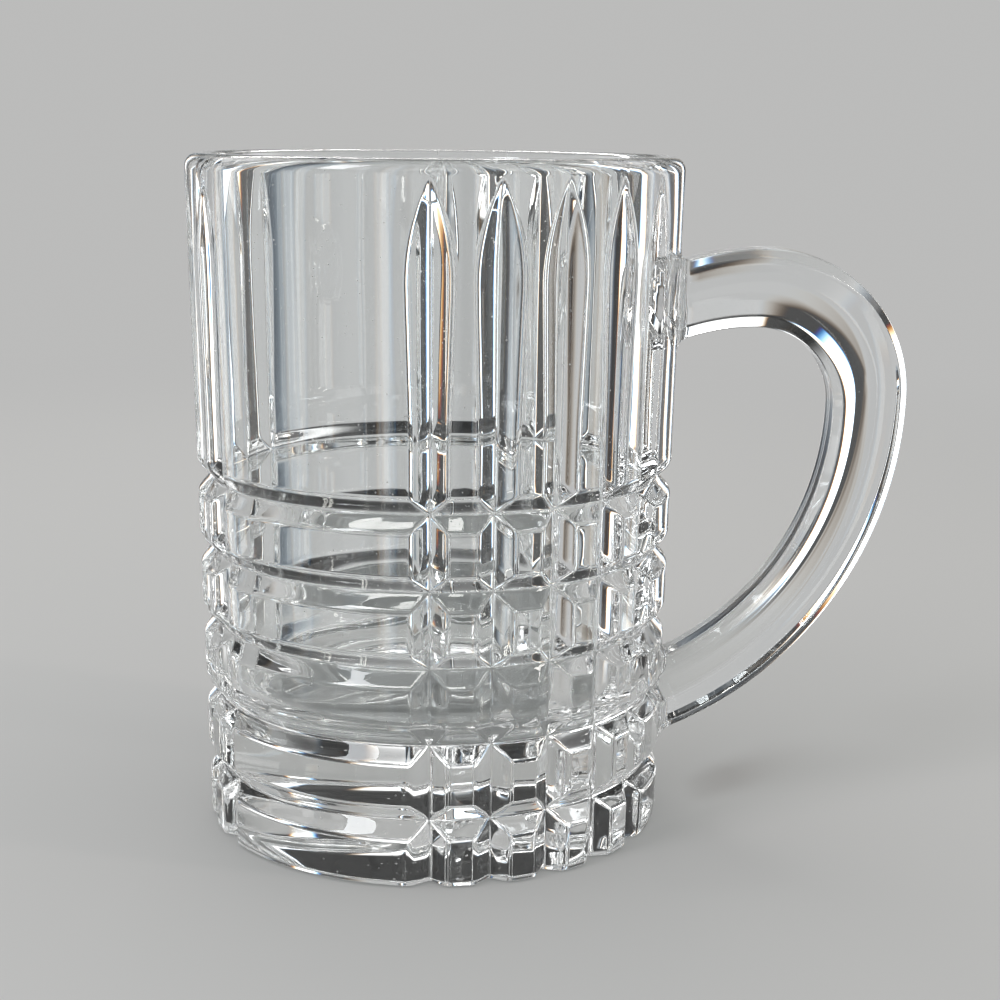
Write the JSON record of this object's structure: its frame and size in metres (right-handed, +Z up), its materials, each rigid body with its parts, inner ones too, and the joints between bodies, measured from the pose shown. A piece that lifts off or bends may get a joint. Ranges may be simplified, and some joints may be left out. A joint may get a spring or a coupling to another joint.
{
  "type": "cut glass beer mug",
  "caption": "Heavy clear glass beer mug with plain panels, crossing ring and upright grooves, a thick solid base, a rounded rim and a bevelled loop handle.",
  "frame": {"origin": "middle of the flat underside, on the table", "axes": "+Z up along the vessel's axis, +X towards the handle"},
  "size_m": [0.1323, 0.0904, 0.124],
  "materials": {
    "vessel_glass": "clear fire-polished glass",
    "handle_glass": "clear fire-polished glass"
  },
  "bodies": {
    "root": {"body": "vessel_glass", "handle": "handle_glass"}
  },
  "joints": []
}
